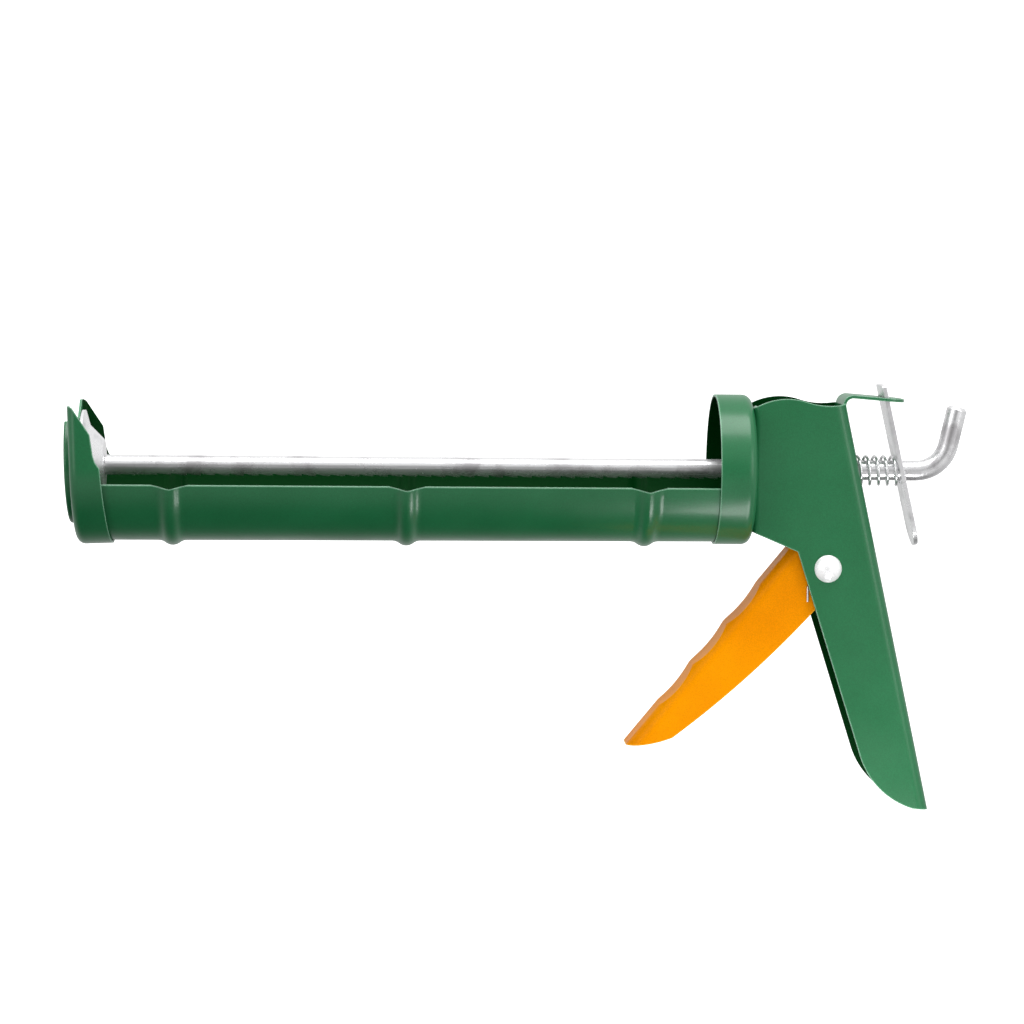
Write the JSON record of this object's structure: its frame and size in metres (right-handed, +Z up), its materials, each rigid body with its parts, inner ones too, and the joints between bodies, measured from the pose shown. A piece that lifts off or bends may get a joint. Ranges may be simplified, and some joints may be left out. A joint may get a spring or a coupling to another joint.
{
  "type": "caulking gun",
  "caption": "Half-barrel ratchet caulking gun: open cartridge cradle, toothed push rod with hook, squeeze trigger and release plate.",
  "frame": {"origin": "on the push rod's axis, at the back face of the rear ring", "axes": "+X along the rod towards the hook, -X towards the nozzle, +Z up, away from the trigger"},
  "size_m": [0.3338, 0.0586, 0.1584],
  "materials": {
    "green_paint": "gloss enamel",
    "orange_paint": "gloss enamel",
    "zinc_plate": "bright zinc plate",
    "bright_rod": "bright drawn and plated",
    "spring_wire": "drawn wire"
  },
  "bodies": {
    "frame": {"barrel_trough": "green_paint", "front_cap": "green_paint", "rear_ring": "green_paint", "ring_rivets": "zinc_plate", "handle_frame": "green_paint", "trigger_pivot_rivet": "zinc_plate", "latch_spring": "spring_wire"},
    "piston": {"piston_plate": "zinc_plate", "piston_washer": "zinc_plate"},
    "rod": {"ratchet_rod": "bright_rod"},
    "latch": {"latch_plate": "zinc_plate"},
    "trigger": {"trigger": "orange_paint", "pawl_pin": "zinc_plate", "pawl_spring": "spring_wire", "trigger_return_spring": "spring_wire"},
    "pawl": {"drive_pawl": "spring_wire"}
  },
  "joints": [
    {"name": "rod_slide", "type": "slide", "parent": "frame", "child": "piston", "axis": [1, 0, 0], "range_m": [-0.0008, 0.237]},
    {"name": "rod_turn", "type": "hinge", "parent": "piston", "child": "rod", "pos_m": [-0.24, 0, 0], "axis": [1, 0, 0], "range_deg": [-180, 180]},
    {"name": "latch_tilt", "type": "hinge", "parent": "frame", "child": "latch", "pos_m": [0.04981, 0, 0.0268], "axis": [0, 1, 0], "range_deg": [0, 9], "stiffness_Nm_per_rad": 0.7, "springref_deg": -5.73, "deforming": ["latch_spring"]},
    {"name": "trigger_pull", "type": "hinge", "parent": "frame", "child": "trigger", "pos_m": [0.0283, 0, -0.0358], "axis": [0, -1, 0], "range_deg": [0, 38], "stiffness_Nm_per_rad": 0.15, "springref_deg": -22.92, "deforming": ["trigger_return_spring"]},
    {"name": "pawl_turn", "type": "hinge", "parent": "trigger", "child": "pawl", "pos_m": [0.03494, 0, -0.01651], "axis": [0, -1, 0], "range_deg": [-38, 0], "deforming": ["pawl_spring"]}
  ],
  "couplings": [
    {"joint": "pawl_turn", "follows": "trigger_pull", "ratio": -1}
  ]
}
